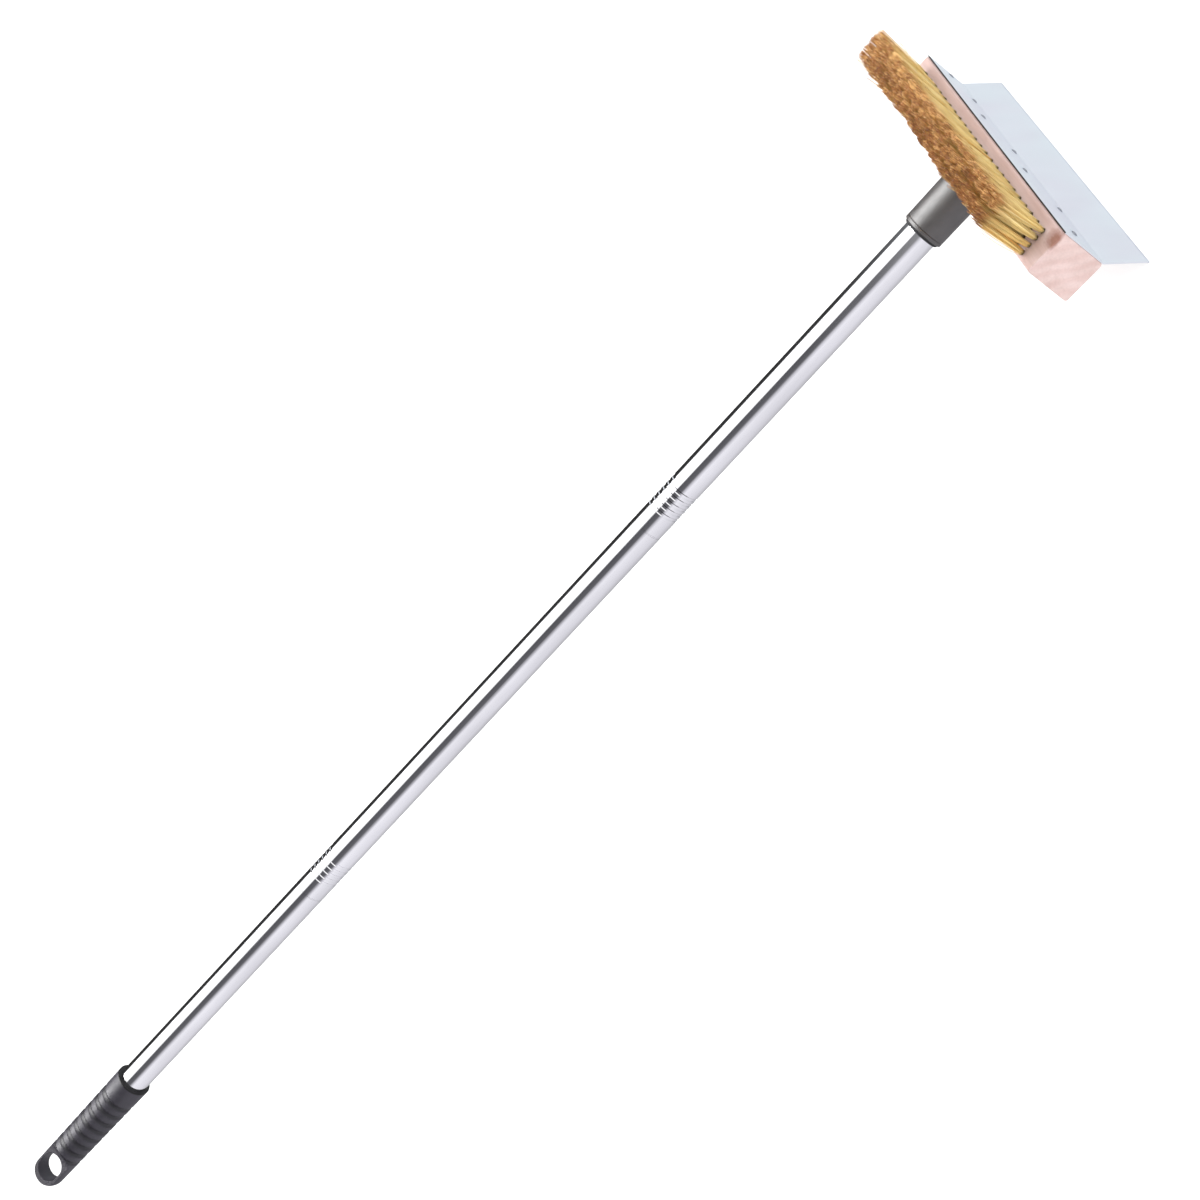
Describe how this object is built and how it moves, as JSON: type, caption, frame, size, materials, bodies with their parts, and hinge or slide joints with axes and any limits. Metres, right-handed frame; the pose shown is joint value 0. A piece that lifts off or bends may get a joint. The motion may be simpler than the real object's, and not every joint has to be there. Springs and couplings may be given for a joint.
{
  "type": "long-handled wire brush and scraper",
  "caption": "Wooden head with rows of brass wire tufts and a bent steel scraper blade, on a pole of steel tubes that screw together, with a push-on grip.",
  "frame": {"origin": "centre of the bottom face of the whole object's box, as it lies on its back on the blade's edge", "axes": "+X along the pole towards the head, +Y along the head, +Z the way the bristles point"},
  "size_m": [1.173, 0.28, 0.1045],
  "materials": {
    "grip": "fine moulded texture, dark blue-grey",
    "tube": "polished stainless steel",
    "plug": "moulded, slightly glossy",
    "spacer": "satin stainless steel",
    "ring": "soft black",
    "ferrule": "moulded mid grey, satin",
    "fastener": "zinc plated",
    "wood": "bare pale pinkish beech, sanded",
    "blade": "rolled stainless sheet, satin",
    "bristle": "drawn wire, darker at the cut tips"
  },
  "bodies": {
    "lower_pole": {"grip": "grip", "lower_tube": "tube", "lower_thread_plug": "plug"},
    "lower_ring": {"lower_seam_ring": "spacer"},
    "middle_pole": {"middle_tube": "tube", "middle_thread_plug": "plug"},
    "middle_ring": {"middle_seam_ring": "spacer"},
    "upper_pole": {"upper_tube": "tube", "upper_thread_plug": "plug"},
    "mouth_ring": {"ferrule_mouth_ring": "ring"},
    "head": {"socket_ferrule": "ferrule", "ferrule_screw": "fastener", "ferrule_washer": "fastener", "head_block": "wood", "scraper_blade": "blade", "blade_nails": "fastener", "bristle_row_1": "bristle", "bristle_row_2": "bristle", "bristle_row_3": "bristle", "bristle_row_4": "bristle", "staple_row_1": "fastener", "staple_row_2": "fastener", "staple_row_3": "fastener", "staple_row_4": "fastener"}
  },
  "joints": [
    {"name": "middle_tube_travel", "type": "slide", "parent": "lower_pole", "child": "lower_ring", "axis": [1, 0, 0], "range_m": [0, 0.0175]},
    {"name": "middle_tube_unscrew", "type": "hinge", "parent": "lower_ring", "child": "middle_pole", "pos_m": [-0.19467, 0, 0.0475], "axis": [1, 0, 0], "range_deg": [0, 1263]},
    {"name": "upper_tube_travel", "type": "slide", "parent": "middle_pole", "child": "middle_ring", "axis": [1, 0, 0], "range_m": [0, 0.0175]},
    {"name": "upper_tube_unscrew", "type": "hinge", "parent": "middle_ring", "child": "upper_pole", "pos_m": [0.21303, 0, 0.0475], "axis": [1, 0, 0], "range_deg": [0, 1263]},
    {"name": "head_travel", "type": "slide", "parent": "upper_pole", "child": "mouth_ring", "axis": [1, 0, 0], "range_m": [0, 0.0125]},
    {"name": "head_unscrew", "type": "hinge", "parent": "mouth_ring", "child": "head", "pos_m": [0.49953, 0, 0.0475], "axis": [1, 0, 0], "range_deg": [0, 903]}
  ],
  "couplings": [
    {"joint": "middle_tube_unscrew", "follows": "middle_tube_travel", "rad_per_m": 1256.6},
    {"joint": "upper_tube_unscrew", "follows": "upper_tube_travel", "rad_per_m": 1256.6},
    {"joint": "head_unscrew", "follows": "head_travel", "rad_per_m": 1256.6}
  ]
}
